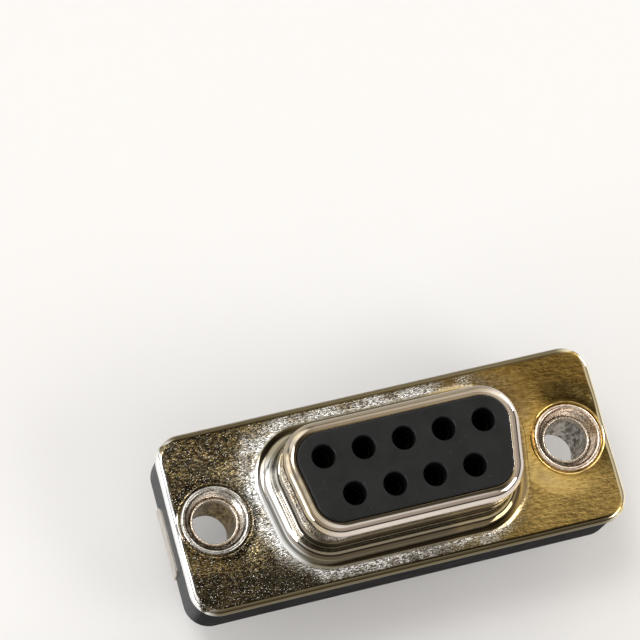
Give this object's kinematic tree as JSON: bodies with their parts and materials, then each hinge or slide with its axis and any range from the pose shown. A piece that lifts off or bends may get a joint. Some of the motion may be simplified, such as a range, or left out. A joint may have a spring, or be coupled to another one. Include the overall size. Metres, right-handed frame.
{
  "type": "d-sub connector",
  "caption": "Straight D-shaped socket connector with plated metal front, black insulators, eyelets, ground brackets and solder tails.",
  "frame": {"origin": "centre of the flange's front face, midway between the two mounting holes", "axes": "+Z points the way the mating plug leaves, +X runs along the flange, +Y points to the side of the row of five contacts"},
  "size_m": [0.0312, 0.0126, 0.0151],
  "materials": {
    "plated_steel": "yellow-tinted plating with a fine grain",
    "front_plastic": "matte charcoal",
    "rear_plastic": "glossy black",
    "contact_metal": "gold socket, tinned tail",
    "eyelet_metal": "bright tin",
    "bracket_metal": "satin tin"
  },
  "bodies": {
    "root": {"front_shell": "plated_steel", "front_insulator": "front_plastic", "rear_insulator": "rear_plastic", "contact_1": "contact_metal", "contact_2": "contact_metal", "contact_3": "contact_metal", "contact_4": "contact_metal", "contact_5": "contact_metal", "contact_6": "contact_metal", "contact_7": "contact_metal", "contact_8": "contact_metal", "contact_9": "contact_metal", "eyelet_left": "eyelet_metal", "eyelet_right": "eyelet_metal", "ground_bracket_left": "bracket_metal", "ground_bracket_right": "bracket_metal"}
  },
  "joints": []
}
